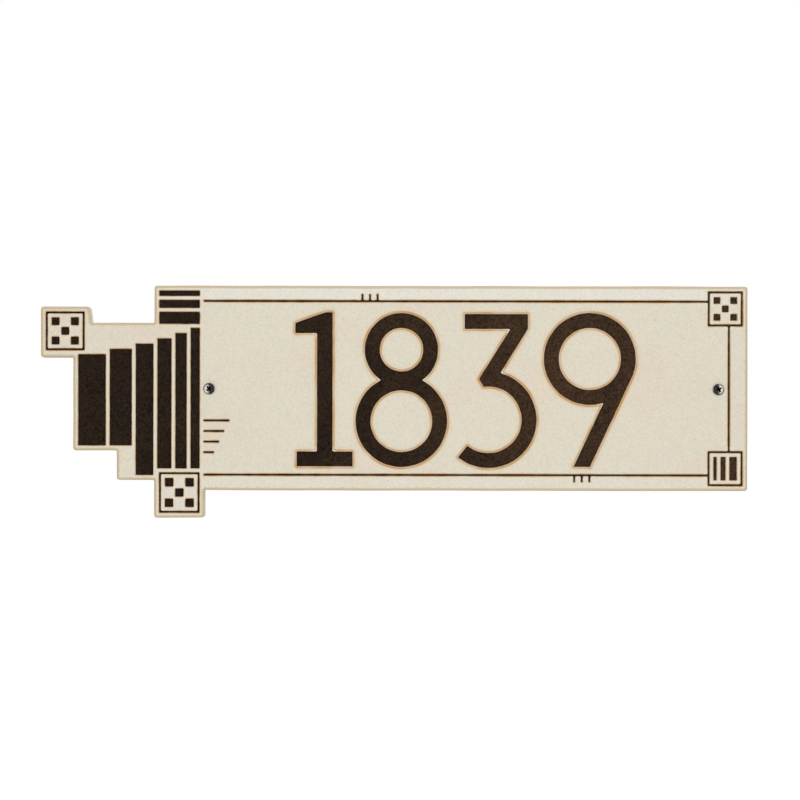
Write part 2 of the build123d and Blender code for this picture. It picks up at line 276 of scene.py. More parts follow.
def evenly_stepped(corners):
    """A closed run in even steps: curves through gentle corners, straight to sharp ones."""
    ahead = np.roll(corners, -1) - corners
    lengths = np.abs(ahead)
    across = np.roll(corners, -1) - np.roll(corners, 1)
    gentle = np.abs(turns(corners)) < math.radians(GENTLE_TURN)
    leaving = np.where(gentle, across / np.abs(across), ahead / lengths)
    arriving = np.where(gentle, across / np.abs(across), np.roll(ahead / lengths, 1))
    drawn = []
    for index, length in enumerate(lengths):
        after = (index + 1) % len(corners)
        t = np.linspace(0, 1, max(2, math.ceil(length / STEP)), endpoint=False)
        drawn.append(
            corners[index] * (2 * t**3 - 3 * t**2 + 1)
            + corners[after] * (3 * t**2 - 2 * t**3)
            + leaving[index] * length * (t**3 - 2 * t**2 + t)
            + arriving[after] * length * (t**3 - t**2)
        )
    drawn = np.concatenate(drawn)
    closed = np.append(drawn, drawn[0])
    run = np.concatenate([[0], np.cumsum(np.abs(np.diff(closed)))])
    places = np.linspace(0, run[-1], round(run[-1] / STEP), endpoint=False)
    return np.interp(places, run, closed.real) + 1j * np.interp(places, run, closed.imag)


def blurred(values, width):
    """A closed run of evenly stepped values, smoothed over a width."""
    frequency = np.fft.fftfreq(len(values), STEP)
    return np.fft.ifft(np.fft.fft(values) * np.exp(-2 * (np.pi * frequency * width) ** 2))


def tree_of(points):
    """Search tree of places on the face."""
    tree = kdtree.KDTree(len(points))
    for index, point in enumerate(points):
        tree.insert((point.real, point.imag, 0), index)
    tree.balance()
    return tree


def gap(tree, point):
    """Distance from a place to the nearest one in a tree."""
    return tree.find((point.real, point.imag, 0))[2]


class Outline:
    """A hand-softened closed outline.  Its solid is on the left, and offsets go to the right."""

    def __init__(self, corners, painted_recess_shade, raised, wobble, wave):
        drawn = evenly_stepped(corners)
        crisp = blurred(drawn, painted_recess_shade)
        soft = blurred(drawn, raised)
        bent = np.clip(-turns(soft) / STEP / RAISED_BEND, 0, 1)
        share = np.clip(blurred(bent, raised).real, 0, 1)
        points = crisp + (soft - crisp) * share
        tangents = np.roll(points, -1) - np.roll(points, 1)
        away = -1j * tangents / np.abs(tangents)
        shake = [noise.noise((p.real / wave, p.imag / wave, wave)) for p in points]
        self.points = points + away * np.array(shake) * wobble
        tangents = np.roll(self.points, -1) - np.roll(self.points, 1)
        self.away = -1j * tangents / np.abs(tangents)
        self.right_scale = np.ones(len(points))
        self.left_scale = np.ones(len(points))
        self.kept = self.kept_points()

    def kept_points(self):
        """Indexes of the points that the shape needs."""
        kept = []
        turned = math.inf
        run = 0
        for index, turn in enumerate(np.abs(np.degrees(turns(self.points)))):
            turned += turn
            run += STEP
            if turned > KEPT_TURN or run > KEPT_GAP:
                kept.append(index)
                turned = 0
                run = 0
        return kept

    def room(self, side, reach, beside, fixed):
        """Share of a section's reach that each point has on one side before it nears another stretch."""
        share = np.ones(len(self.points))
        steps = np.arange(ROOM_STEP, reach * ROOM_SPARE, ROOM_STEP)
        for index, (point, away) in enumerate(zip(self.points, self.away * side)):
            for step in steps:
                place = point + step * away
                near = gap(beside, place) < step - ROOM_SLACK
                if near or (fixed and gap(fixed, place) < EDGE_CLEARANCE):
                    share[index] = (step - ROOM_STEP) / reach / ROOM_SPARE
                    break
        spread = math.ceil(reach / STEP) + ROOM_BLEND
        lowest = np.min([np.roll(share, shift) for shift in range(-spread, spread + 1)], axis=0)
        return np.clip(blurred(lowest, ROOM_BLEND * STEP).real, ROOM_LEAST / reach, 1)

    def ring(self, offset):
        """Kept points, moved to the right by an offset."""
        scale = self.right_scale if offset > 0 else self.left_scale
        return (self.points + self.away * offset * scale)[self.kept]


# Meshes

class Skin:
    """Vertices, faces and glaze values of one closed piece, gathered ring by ring."""

    def __init__(self):
        self.places = []
        self.shares = {"edge": [], "rim": [], "narrow": []}
        self.faces = []
        self.kinds = []

    def ring(self, points, depth, **shares):
        """Adds places at one depth under the front face, with their glaze values; returns their indexes."""
        first = len(self.places)
        self.places += [(point.real, FRONT + depth, point.imag) for point in points]
        for name, values in self.shares.items():
            values.extend(np.broadcast_to(shares.get(name, 0.0), len(points)))
        return list(range(first, len(self.places)))

    def strip(self, right, left, kind):
        """Faces between two rings that run side by side."""
        count = len(right)
        for here in range(count):
            after = (here + 1) % count
            self.faces.append((right[here], right[after], left[after], left[here]))
            self.kinds.append(kind)

    def wall(self, rings, outward=False, kinds=None):
        """Faces from each ring to the next; outward where the solid is on the rings' left."""
        kinds = kinds or [COVERED] * len(rings)
        for near, far, kind in zip(rings, rings[1:], kinds):
            if outward:
                self.strip(far, near, kind)
            else:
                self.strip(near, far, kind)

    def fill(self, rings, spare=(), kind=COVERED, behind=False):
        """Triangles between rings.  What lies inside an even number of rings stays open."""
        members = [index for ring in rings for index in ring] + list(spare)
        flat = [Vector((self.places[index][0], self.places[index][2])) for index in members]
        loops = []
        start = 0
        for ring in rings:
            loop = list(range(start, start + len(ring)))
            start += len(ring)
            area = sum(flat[i].cross(flat[j]) for i, j in zip(loop, loop[1:] + loop[:1]))
            loops.append(loop if area > 0 else loop[::-1])
        _, _, faces, origins, _, owners = delaunay_2d_cdt(flat, [], loops, FILL_INSIDE, FILL_GAP)
        for face, owner in zip(faces, owners):
            if len(owner) % 2 == 1:
                corners = [members[origins[index][0]] for index in face]
                self.faces.append(corners[::-1] if behind else corners)
                self.kinds.append(kind)

    def uneven(self):
        """Lets the front follow the slight unevenness of the fired slab."""
        middle = FRONT + THICKNESS / 2
        for index, (x, y, z) in enumerate(self.places):
            if y < middle:
                swell = noise.noise((x / FIELD_WAVE, z / FIELD_WAVE, FIELD_WAVE))
                self.places[index] = (x, y + FIELD_WOBBLE * swell, z)

    def piece(self, name, materials):
        """The finished object, in metres, without loose points."""
        used = sorted({index for face in self.faces for index in face})
        renumbered = {index: place for place, index in enumerate(used)}
        mesh = bpy.data.meshes.new(name)
        places = [Vector(self.places[index]) * MM for index in used]
        mesh.from_pydata(places, [], [[renumbered[index] for index in face] for face in self.faces])
        mesh.polygons.foreach_set("material_index", self.kinds)
        mesh.shade_smooth()
        for label, values in self.shares.items():
            layer = mesh.attributes.new(label, "FLOAT", "POINT")
            layer.data.foreach_set("value", [values[index] for index in used])
        for material in materials:
            mesh.materials.append(material)
        made = bpy.data.objects.new(name, mesh)
        bpy.context.scene.collection.objects.link(made)
        return made


def recess_section():
    """Down the edge of a recess: offset to the field side, and depth."""
    section = [(LIP + SHOULDER, 0.0)]
    for step in range(LIP_STEPS + 1):
        turn = math.pi / 2 * step / LIP_STEPS
        section.append((LIP * (1 - math.sin(turn)), LIP * (1 - math.cos(turn))))
    return section + [
        (-DRAFT, RECESS_DEPTH - COVE),
        (-DRAFT - MID_ROUND * COVE, RECESS_DEPTH - MID_ROUND * COVE),
        (-DRAFT - COVE, RECESS_DEPTH),
    ]


def glaze_section():
    """Round the edge of the dark glaze, from its top to its underside: offset and depth."""
    section = []
    for step in range(MENISCUS_STEPS + 1):
        share = step / MENISCUS_STEPS
        section.append((-MENISCUS * (1 - share), GLAZE_DEPTH - MENISCUS_RISE * share**2))
    return section + [
        (BITE, GLAZE_DEPTH - MENISCUS_RISE),
        (BITE, RECESS_DEPTH - COVE / 2),
        (-COVE, RECESS_DEPTH + BED),
    ]


def edge_section():
    """Over the rolled outer edge to the back: offset, depth and how far the rim's tan shows."""
    section = [(-ROLL - ROLL_GUARD, 0.0, GUARD_TAN)]
    for step in range(ROLL_STEPS):
        turn = math.pi / 2 * step / ROLL_STEPS
        section.append((ROLL * (math.sin(turn) - 1), ROLL * (1 - math.cos(turn)), 1.0))
    return section + [
        (0.0, ROLL, WALL_TAN),
        (0.0, THICKNESS - GLAZE_LINE, WALL_TAN),
        (0.0, THICKNESS - BACK_ROUND, WALL_TAN),
        (-MID_ROUND * BACK_ROUND, THICKNESS - MID_ROUND * BACK_ROUND, WALL_TAN),
        (-BACK_ROUND, THICKNESS, WALL_TAN),
    ]


def hole_section():
    """Through a screw hole: offset and depth."""
    return [
        (-HOLE_ROUND, 0.0),
        (-MID_ROUND * HOLE_ROUND, MID_ROUND * HOLE_ROUND),
        (0.0, HOLE_ROUND),
        (0.0, THICKNESS - HOLE_ROUND),
        (-HOLE_ROUND, THICKNESS),
    ]


def read_outlines():
    """The slab's outline, its screw holes, and the recesses of the numerals and the ornament."""
    level = FRONT + GLAZE_DEPTH
    figures = flat_outlines("numeral_glaze", level)
    pattern = flat_outlines("ornament_glaze", level)
    *holes, slab = sorted(flat_outlines("plaque", BACK), key=lambda loop: np.ptp(loop.real))
    softened = SUNK_CORNER, RAISED_CORNER, LINE_WOBBLE, LINE_WAVE
    numerals = [Outline(loop, *softened) for loop in figures]
    ornament = [Outline(loop, *softened) for loop in pattern]
    rim = Outline(slab[::-1], EDGE_ROUNDING, EDGE_ROUNDING, EDGE_WOBBLE, EDGE_WAVE)
    bores = [Outline(loop[::-1], EDGE_ROUNDING, EDGE_ROUNDING, 0, LINE_WAVE) for loop in holes]
    recesses = numerals + ornament
    beside = tree_of(np.concatenate([outline.points for outline in recesses]))
    inner_edge = rim.points + rim.away * edge_section()[0][0]
    hole_edges = [bore.points + bore.away * hole_section()[0][0] for bore in bores]
    fixed = tree_of(np.concatenate([inner_edge] + hole_edges))
    for outline in recesses:
        outline.right_scale = outline.room(1, recess_section()[0][0], beside, fixed)
        outline.left_scale = outline.room(-1, MENISCUS, beside, None)
    return rim, bores, numerals, ornament


class Halos:
    """Distances from the recesses, as shares of the halo in which the cream glaze runs thin."""

    def __init__(self, numerals, ornament):
        self.numerals = tree_of(np.concatenate([outline.points for outline in numerals]))
        self.ornament = tree_of(np.concatenate([outline.points for outline in ornament]))

    def beside_numeral(self, point):
        """Whether the halo of a numeral reaches a place."""
        return gap(self.numerals, point) < NUMERAL_HALO + CLOSE_GRID

    def edge(self, points):
        """Share of the way out of the nearest halo, past 1 outside it."""
        shares = []
        for point in points:
            past_numeral = gap(self.numerals, point) / NUMERAL_HALO
            past_ornament = gap(self.ornament, point) / ORNAMENT_HALO
            shares.append(min(past_numeral, past_ornament))
        return shares


def field_points(skin, rings, halos, rim):
    """Spare points over the open field, close together beside a numeral or the rim, clear of every edge."""
    edges = tree_of([complex(skin.places[i][0], skin.places[i][2]) for ring in rings for i in ring])
    outline = tree_of(rim.points)
    low, high = (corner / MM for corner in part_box("plaque"))
    spare = []
    for column, x in enumerate(np.arange(low.x, high.x, CLOSE_GRID)):
        for row, z in enumerate(np.arange(low.z, high.z, CLOSE_GRID)):
            place = complex(x, z)
            close = halos.beside_numeral(place) or gap(outline, place) < RIM_BAND
            spacing = CLOSE_GRID if close else FIELD_GRID
            skipped = column % round(spacing / CLOSE_GRID) or row % round(spacing / CLOSE_GRID)
            if not skipped and gap(edges, place) > spacing / 2:
                spare.append(place)
    return skin.ring(spare, 0.0, edge=halos.edge(spare))


def slab_piece(rim, bores, numerals, ornament):
    """The slab: uneven field, lipped recesses, rolled edge, bores and a bare back."""
    skin = Skin()
    halos = Halos(numerals, ornament)
    field = []
    floors = []
    backs = []
    for outlines, halo in ((numerals, NUMERAL_HALO), (ornament, ORNAMENT_HALO)):
        for outline in outlines:
            scale = outline.right_scale[outline.kept]
            rings = []
            for offset, depth in recess_section():
                past = max(0, offset) * scale / halo
                rings.append(skin.ring(outline.ring(offset), depth, edge=past, narrow=1 - scale))
            skin.wall(rings)
            field.append(rings[0])
            floors.append(rings[-1])
    rings = []
    for offset, depth, tan in edge_section():
        places = rim.ring(offset)
        rings.append(skin.ring(places, depth, edge=halos.edge(places), rim=tan))
    above_line = ROLL_STEPS + 2
    below_line = len(rings) - 1 - above_line
    skin.wall(rings, outward=True, kinds=[COVERED] * above_line + [BARE] * below_line)
    field.append(rings[0])
    backs.append(rings[-1])
    for bore in bores:
        rings = [skin.ring(bore.ring(offset), depth, edge=1.0) for offset, depth in hole_section()]
        skin.wall(rings, outward=True, kinds=[COVERED, COVERED, BARE, BARE])
        field.append(rings[0])
        backs.append(rings[-1])
    skin.fill(field, spare=field_points(skin, field, halos, rim))
    skin.fill(floors)
    skin.fill(backs, kind=BARE, behind=True)
    skin.uneven()
    return skin.piece("glazed_slab", [satin_cream_glaze(), bare_stoneware()])


def dark_piece(name, outlines, material):
    """Dark glaze in a set of recesses, climbing their walls a little."""
    skin = Skin()
    tops = []
    beds = []
    for outline in outlines:
        rings = [skin.ring(outline.ring(offset), depth) for offset, depth in glaze_section()]
        skin.wall(rings, outward=True)
        tops.append(rings[0])
        beds.append(rings[-1])
    skin.fill(tops)
    skin.fill(beds, behind=True)
    skin.uneven()
    return skin.piece(name, [material])


# Screws

def circle(radius):
    """Places round the screw's axis."""
    return radius * np.exp(2j * np.pi * np.arange(SCREW_SEGMENTS) / SCREW_SEGMENTS)


def dome_depth(radius):
    """Depth of the head's dome at a radius."""
    rise = HEAD_HEIGHT - HEAD_RIM
    dome = (HEAD_RADIUS**2 + rise**2) / (2 * rise)
    return -HEAD_HEIGHT + dome - math.sqrt(dome**2 - radius**2)


def in_cross(place):
    """1 for a place below the dome in the cross recess, where shade is painted, and 0 for any other."""
    radius = min(math.hypot(place.x, place.z), HEAD_RADIUS)
    depth = place.y - FRONT
    floor = CROSS_DEPTH - HEAD_HEIGHT + CROSS_EDGE
    return float(dome_depth(radius) + CROSS_EDGE < depth < floor and radius < CROSS_SPAN / 2)


def head_section():
    """Down the screw from the top of its dome to the end of its smooth shank: radius and depth."""
    section = []
    for step in range(1, DOME_STEPS + 1):
        radius = (HEAD_RADIUS - HEAD_EDGE) * step / DOME_STEPS
        section.append((radius, dome_depth(radius)))
    return section + [
        (HEAD_RADIUS - MID_ROUND * HEAD_EDGE, -HEAD_RIM - HEAD_BULGE * HEAD_EDGE),
        (HEAD_RADIUS, -HEAD_RIM + HEAD_EDGE),
        (HEAD_RADIUS, -HEAD_EDGE),
        (HEAD_RADIUS - HEAD_EDGE, 0.0),
        (SMOOTH_RADIUS + HEAD_EDGE, 0.0),
        (SMOOTH_RADIUS, HEAD_EDGE),
        (SMOOTH_RADIUS, SMOOTH_LENGTH),
        (PLUG_RADIUS, SMOOTH_LENGTH + PLUG_LENGTH),
    ]


def cross_arm(name, turn):
    """Cutter for one arm pair of the cross recess, narrowing to its point."""
    above = -HEAD_HEIGHT - CUTTER_RISE
    below = -HEAD_HEIGHT + CROSS_DEPTH
    slope = (CROSS_SPAN - CROSS_POINT) / 2 / CROSS_DEPTH
    skin = Skin()
    rings = []
    for half, depth in ((CROSS_SPAN / 2 + slope * CUTTER_RISE, above), (CROSS_POINT / 2, below)):
        signs = ((1, -1), (1, 1), (-1, 1), (-1, -1))
        corners = [complex(a * half, b * CROSS_SLOT / 2) for a, b in signs]
        rings.append(skin.ring([corner * np.exp(1j * turn) for corner in corners], depth))
    skin.fill([rings[0]])
    skin.wall(rings, outward=True)
    skin.fill([rings[1]], behind=True)
    return skin.piece(name, [])


def thread_mesh():
    """Rolled thread down to the point: rows that follow the helix, closed at both ends."""
    start = SMOOTH_LENGTH
    end = SCREW_END - FRONT
    per_turn = len(THREAD_SHAPE)
    rows = math.ceil((end - start) / THREAD_PITCH + 1) * per_turn + 1
    made = bmesh.new()
    grid = {}
    for row in range(-per_turn, rows):
        for column in range(THREAD_SEGMENTS):
            share = column / THREAD_SEGMENTS
            depth = start + (row / per_turn + share) * THREAD_PITCH
            depth = min(max(depth, start), end)
            taper = min(1, (end - depth) / POINT_LENGTH)
            fade = min(1, (depth - start) / THREAD_PITCH)
            root = POINT_RADIUS + (ROOT_RADIUS - POINT_RADIUS) * taper
            crest = (CREST_RADIUS - ROOT_RADIUS) * fade * min(1, CREST_HOLD * taper)
            radius = root + crest * THREAD_SHAPE[row % per_turn]
            angle = 2 * math.pi * share
            place = (radius * math.cos(angle), FRONT + depth, radius * math.sin(angle))
            grid[row, column] = made.verts.new(Vector(place) * MM)
    for row in range(-per_turn, rows - per_turn - 1):
        for column in range(THREAD_SEGMENTS):
            wrapped = column == THREAD_SEGMENTS - 1
            after = (row + per_turn, 0) if wrapped else (row, column + 1)
            corners = [(row, column), (row + 1, column), (after[0] + 1, after[1]), after]
            made.faces.new([grid[corner] for corner in corners])
    bmesh.ops.remove_doubles(made, verts=made.verts, dist=THREAD_GAP * MM)
    bmesh.ops.dissolve_degenerate(made, edges=made.edges, dist=THREAD_GAP * MM)
    bmesh.ops.delete(made, geom=[v for v in made.verts if not v.link_faces], context="VERTS")
    bmesh.ops.holes_fill(made, edges=made.edges)
    bmesh.ops.recalc_face_normals(made, faces=made.faces)
    mesh = bpy.data.meshes.new("thread")
    made.to_mesh(mesh)
    made.free()
    return mesh


def one_screw():
    """Pan head screw on the origin's axis: domed head with a cross recess, shank and thread."""
    skin = Skin()
    rings = [skin.ring(circle(radius), depth) for radius, depth in head_section()]
    skin.fill([rings[0]])
    skin.wall(rings, outward=True)
    skin.fill([rings[-1]], behind=True)
    head = skin.piece("screw_head", [])
    arms = [cross_arm("cross_arm_a", 0.0), cross_arm("cross_arm_b", math.pi / 2)]
    for arm in arms:
        cut = head.modifiers.new("cut", "BOOLEAN")
        cut.object = arm
        cut.operation = "DIFFERENCE"
        cut.solver = "EXACT"
    soften = head.modifiers.new("soften", "BEVEL")
    soften.width = CROSS_EDGE * MM
    soften.segments = CROSS_EDGE_STEPS
    soften.angle_limit = CROSS_EDGE_ANGLE
    ready = head.evaluated_get(bpy.context.evaluated_depsgraph_get())
    joined = bmesh.new()
    joined.from_mesh(bpy.data.meshes.new_from_object(ready))
    joined.from_mesh(thread_mesh())
    mesh = bpy.data.meshes.new("pan_head_screw")
    joined.to_mesh(mesh)
    joined.free()
    mesh.shade_smooth()
    mesh.set_sharp_from_angle(angle=SHARP_ANGLE)
    # Painted shade: faces down in the cross recess get 1, to be coloured near black
    painted_recess_shade = mesh.attributes.new("painted_recess_shade", "FLOAT", "FACE")
    painted_recess_shade.data.foreach_set("value", [in_cross(face.center / MM) for face in mesh.polygons])
    for scrap in [head] + arms:
        bpy.data.objects.remove(scrap)
    screw = bpy.data.objects.new("pan_head_screw", mesh)
    bpy.context.scene.collection.objects.link(screw)
    return screw


def screw_pair():
    """Geometry nodes that set a screw at each end of a level line, each stopped at its own turn."""
    tree = bpy.data.node_groups.new("screw_pair", "GeometryNodeTree")
    tree.interface.new_socket("Geometry", in_out="OUTPUT", socket_type="NodeSocketGeometry")
    for name, kind in (
        ("Screw", "NodeSocketObject"),
        ("Material", "NodeSocketMaterial"),
        ("Spacing", "NodeSocketFloat"),
        ("First turn", "NodeSocketFloat"),
        ("Turn change", "NodeSocketFloat"),
    ):
        tree.interface.new_socket(name, in_out="INPUT", socket_type=kind)
    given = node(tree, "NodeGroupInput").outputs
    half = node(tree, "ShaderNodeMath", {0: given["Spacing"], 1: -0.5}, operation="MULTIPLY")
    first = node(tree, "ShaderNodeCombineXYZ", {"X": half.outputs[0]})
    apart = node(tree, "ShaderNodeCombineXYZ", {"X": given["Spacing"]})
    line = node(
        tree,
        "GeometryNodeMeshLine",
        {"Count": 2, "Start Location": first.outputs[0], "Offset": apart.outputs[0]},
    )
    number = node(tree, "GeometryNodeInputIndex")
    turn = node(
        tree,
        "ShaderNodeMath",
        {0: number.outputs[0], 1: given["Turn change"], 2: given["First turn"]},
        operation="MULTIPLY_ADD",
    )
    turned = node(tree, "ShaderNodeCombineXYZ", {"Y": turn.outputs[0]})
    screw = node(tree, "GeometryNodeObjectInfo", {"Object": given["Screw"]})
    placed = node(
        tree,
        "GeometryNodeInstanceOnPoints",
        {
            "Points": line.outputs[0],
            "Instance": screw.outputs["Geometry"],
            "Rotation": turned.outputs[0],
        },
    )
    real = node(tree, "GeometryNodeRealizeInstances", {"Geometry": placed.outputs[0]})
    finish = node(
        tree,
        "GeometryNodeSetMaterial",
        {"Geometry": real.outputs[0], "Material": given["Material"]},
    )
    node(tree, "NodeGroupOutput", {"Geometry": finish.outputs[0]})
    return tree


def screws_piece():
    """Both wall screws as one plain mesh."""
    screw = one_screw()
    holder = bpy.data.objects.new("screw_holder", bpy.data.meshes.new("screw_holder"))
    bpy.context.scene.collection.objects.link(holder)
    nodes = holder.modifiers.new("screw_pair", "NODES")
    nodes.node_group = screw_pair()
    wanted = {
        "Screw": screw,
        "Material": blackened_steel(),
        "Spacing": SCREW_SPACING * MM,
        "First turn": -FIRST_TURN,
        "Turn change": FIRST_TURN - SECOND_TURN,
    }
    for socket in nodes.node_group.interface.items_tree:
        if socket.in_out == "INPUT":
            nodes[socket.identifier] = wanted[socket.name]
    ready = holder.evaluated_get(bpy.context.evaluated_depsgraph_get())
    made = bpy.data.objects.new("wall_screws", bpy.data.meshes.new_from_object(ready))
    bpy.context.scene.collection.objects.link(made)
    bpy.data.objects.remove(holder)
    bpy.data.objects.remove(screw)
    return made


# Materials

def colour(code):
    """An sRGB hex code as the linear colour that a socket takes."""
    shares = [int(code[place:place + 2], 16) / 255 for place in (1, 3, 5)]
    return [s / 12.92 if s <= 0.04045 else ((s + 0.055) / 1.055) ** 2.4 for s in shares] + [1.0]


def per_size(size):
    """Texture scale for a pattern whose features are about this many millimetres across."""
    return 1 / (size * MM)


def node(tree, kind, inputs=None, **settings):
    """Adds a node with its settings; inputs are values, or sockets to link from.

    Inputs go by name or number.  Mix has its factor at 0, values at 2 and 3 and colours at 6 and 7, and
    gives a colour at 2.  Map Range takes a value at 0 from the range 1 to 2 to the range 3 to 4.
    """
    made = tree.nodes.new(kind)
    for name, value in settings.items():
        setattr(made, name, value)
    for name, value in (inputs or {}).items():
        if isinstance(value, bpy.types.NodeSocket):
            tree.links.new(value, made.inputs[name])
        else:
            made.inputs[name].default_value = value
    return made


def new_material(name):
    """An empty material, its tree, its shader and the object coordinates of its pattern."""
    material = bpy.data.materials.new(name)
    material.use_nodes = True
    tree = material.node_tree
    tree.nodes.clear()
    shader = node(tree, "ShaderNodeBsdfPrincipled")
    node(tree, "ShaderNodeOutputMaterial", {"Surface": shader.outputs[0]})
    place = node(tree, "ShaderNodeTexCoord").outputs["Object"]
    return material, tree, shader, place


def satin_cream_glaze():
    """Satin feldspar glaze, poured and fired: a warm, finely grained cream with a soft sheen.

    Where it runs thin over an arris it breaks to amber, with a painted highlight on the arris itself;
    on the rolled rim and the side wall it breaks to a dry tan, and between recesses that lie close it pools
    to a milky white that is partly a painted highlight on those narrow tips.
    """
    material, tree, shader, place = new_material("satin_cream_glaze")
    cloud, grain, drift, peel = (
        node(tree, "ShaderNodeTexNoise", {"Vector": place, "Scale": per_size(size), "Detail": detail})
        for size, detail in ((CREAM_CLOUD, 2.0), (CREAM_GRAIN, 3.0), (CREAM_DRIFT, 2.0), (CREAM_PEEL, 1.0))
    )
    # Ground, in slow clouds, whiter along the margins, the upper one more as painted light from above
    warm = node(tree, "ShaderNodeMapRange", {0: cloud.outputs[0], 1: 0.5, 2: 0.7})
    ground = node(
        tree,
        "ShaderNodeMix",
        {0: warm.outputs[0], 6: colour("#DDD6C3"), 7: colour("#DFD2BF")},
        data_type="RGBA",
    )
    height = node(tree, "ShaderNodeSeparateXYZ", {0: place}).outputs["Z"]
    # Whiter margins: thicker cream above and below, and above also painted light from above
    upper, lower = (
        node(
            tree,
            "ShaderNodeMapRange",
            {0: height, 1: side * MARGIN_START * MM, 2: side * MARGIN_END * MM, 3: 0.0, 4: white},
        )
        for side, white in ((1, UPPER_WHITE), (-1, LOWER_WHITE))
    )
    margin = node(tree, "ShaderNodeMath", {0: upper.outputs[0], 1: lower.outputs[0]})
    thick = node(
        tree,
        "ShaderNodeMix",
        {0: margin.outputs[0], 6: ground.outputs[2], 7: colour("#E4E1D5")},
        data_type="RGBA",
    )
    # Grain and specks
    dark, light = GRAIN_TONES
    shade = node(
        tree,
        "ShaderNodeMapRange",
        {0: grain.outputs[0], 1: NOISE_LOW, 2: NOISE_HIGH, 3: dark, 4: light},
    )
    layered = node(
        tree,
        "ShaderNodeMix",
        {0: 1.0, 6: thick.outputs[2], 7: shade.outputs[0]},
        data_type="RGBA",
        blend_type="MULTIPLY",
    )
    specks = node(tree, "ShaderNodeTexVoronoi", {"Vector": place, "Scale": per_size(CREAM_SPECK)})
    dots = node(
        tree,
        "ShaderNodeMapRange",
        {0: specks.outputs["Distance"], 1: 0.05, 2: 0.1, 3: CREAM_SPECK_SHOW, 4: 0.0},
    )
    # Milky pools where the cream is narrow, partly a painted highlight on those narrow tips
    narrow = node(tree, "ShaderNodeAttribute", attribute_name="narrow").outputs["Fac"]
    # Painted highlight, partly: the milky white on narrow cream tips
    pool_and_highlight = node(tree, "ShaderNodeMapRange", {0: narrow, 1: 0.1, 2: 0.5})
    # Peach halo and amber line beside a recess, the line weaker where the cream is narrow, and weaker
    # on the arris itself as a painted highlight
    edge = node(tree, "ShaderNodeAttribute", attribute_name="edge").outputs["Fac"]
    flow = node(
        tree,
        "ShaderNodeMapRange",
        {0: drift.outputs[0], 1: NOISE_LOW, 2: NOISE_HIGH, 3: 0.4, 4: 1.4},
    )
    held = node(tree, "ShaderNodeMapRange", {0: narrow, 1: 0.05, 2: 0.4, 3: 1.0, 4: NARROW_AMBER})
    spread = node(tree, "ShaderNodeMapRange", {0: edge, 1: 0.1, 2: 1.0, 3: PEACH_SHOW, 4: 0.0})
    outer = node(
        tree,
        "ShaderNodeMapRange",
        {0: edge, 1: AMBER_DEEP, 2: AMBER_END, 3: 1.0, 4: 0.0},
        interpolation_type="SMOOTHSTEP",
    )
    # Painted highlight: the arris keeps less amber, so it shows paler than the line beyond
    arris_highlight = node(
        tree,
        "ShaderNodeMapRange",
        {0: edge, 1: AMBER_START, 2: AMBER_DEEP, 3: ARRIS_AMBER, 4: 1.0},
    )
    deep = outer
    for share in (arris_highlight, held, flow):
        deep = node(tree, "ShaderNodeMath", {0: deep.outputs[0], 1: share.outputs[0]}, operation="MULTIPLY")
    # Tan on the rolled rim and the side wall
    rim = node(tree, "ShaderNodeAttribute", attribute_name="rim").outputs["Fac"]
    even = node(
        tree,
        "ShaderNodeMapRange",
        {0: drift.outputs[0], 1: NOISE_LOW, 2: NOISE_HIGH, 3: 0.8, 4: 1.15},
    )
    tanned = node(tree, "ShaderNodeMath", {0: rim, 1: even.outputs[0]}, operation="MULTIPLY")
    worn = node(tree, "ShaderNodeMapRange", {0: tanned.outputs[0], 1: 0.25, 2: 0.75, 3: 0.0, 4: TAN_SHOW})
    # Specks, pools with their painted highlight, halo, amber line and tan, each laid over the one before
    for share, tint in (
        (dots, "#B59F7C"),
        (pool_and_highlight, "#E6E2D4"),
        (spread, "#D2BE98"),
        (deep, "#C89656"),
        (worn, "#CCB694"),
    ):
        layered = node(
            tree,
            "ShaderNodeMix",
            {0: share.outputs[0], 6: layered.outputs[2], 7: colour(tint)},
            data_type="RGBA",
        )
    # Satin sheen over a slight peel, dry where it is tan
    least, most = CREAM_ROUGHNESS
    gloss = node(
        tree,
        "ShaderNodeMapRange",
        {0: grain.outputs[0], 1: NOISE_LOW, 2: NOISE_HIGH, 3: least, 4: most},
    )
    bump = node(
        tree,
        "ShaderNodeBump",
        {"Strength": 0.25, "Distance": CREAM_RELIEF * MM, "Height": peel.outputs[0]},
    )
    matt = node(tree, "ShaderNodeMapRange", {0: rim, 1: 0.05, 2: 0.3})
    dry = node(tree, "ShaderNodeMix", {0: matt.outputs[0], 2: gloss.outputs[0], 3: RIM_ROUGHNESS})
    tree.links.new(layered.outputs[2], shader.inputs["Base Color"])
    tree.links.new(dry.outputs[0], shader.inputs["Roughness"])
    tree.links.new(bump.outputs[0], shader.inputs["Normal"])
    return material


